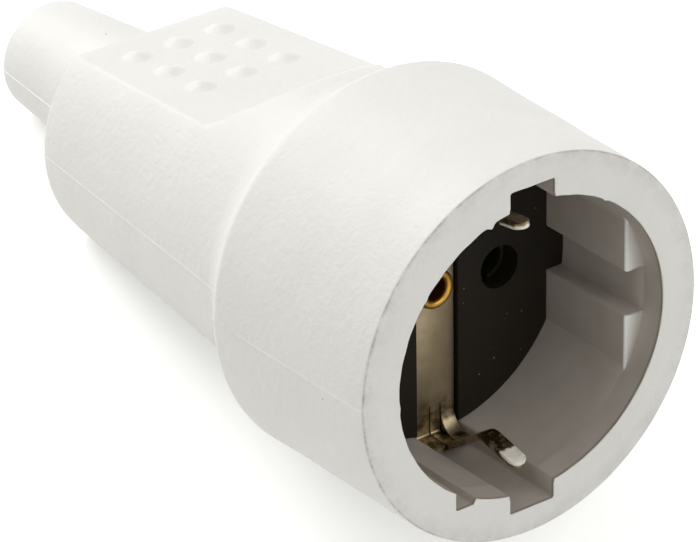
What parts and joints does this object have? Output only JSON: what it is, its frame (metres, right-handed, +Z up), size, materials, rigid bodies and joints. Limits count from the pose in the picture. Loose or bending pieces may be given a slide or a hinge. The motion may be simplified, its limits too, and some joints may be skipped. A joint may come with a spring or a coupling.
{
  "type": "inline socket connector",
  "caption": "Round inline cable socket with side earth tongues: soft one-piece housing with a tapered, flat-sided grip and cord neck, and a black contact carrier in its recess.",
  "frame": {"origin": "centre of the bounding box's base, on the surface the socket lies on", "axes": "+Z up, +Y towards the cord's inlet, +X to the right for someone who looks into the socket"},
  "size_m": [0.051, 0.1054, 0.0555],
  "materials": {
    "white_pvc": "soft moulded, satin",
    "black_phenolic": "moulded, satin",
    "nickel_plate": "dull plated, tarnished",
    "brass": "turned",
    "zinc_steel": "zinc plated",
    "grey_polyamide": "moulded"
  },
  "bodies": {
    "root": {"housing": "white_pvc", "contact_carrier": "black_phenolic", "line_contact": "brass", "neutral_contact": "brass", "earth_strap": "nickel_plate", "earth_eyelet": "brass", "earth_lug": "brass", "earth_washer": "zinc_steel", "terminal_screws": "zinc_steel", "cord_clamp_bar": "grey_polyamide", "cord_clamp_screws": "zinc_steel", "cord_clamp_nuts": "zinc_steel"}
  },
  "joints": []
}
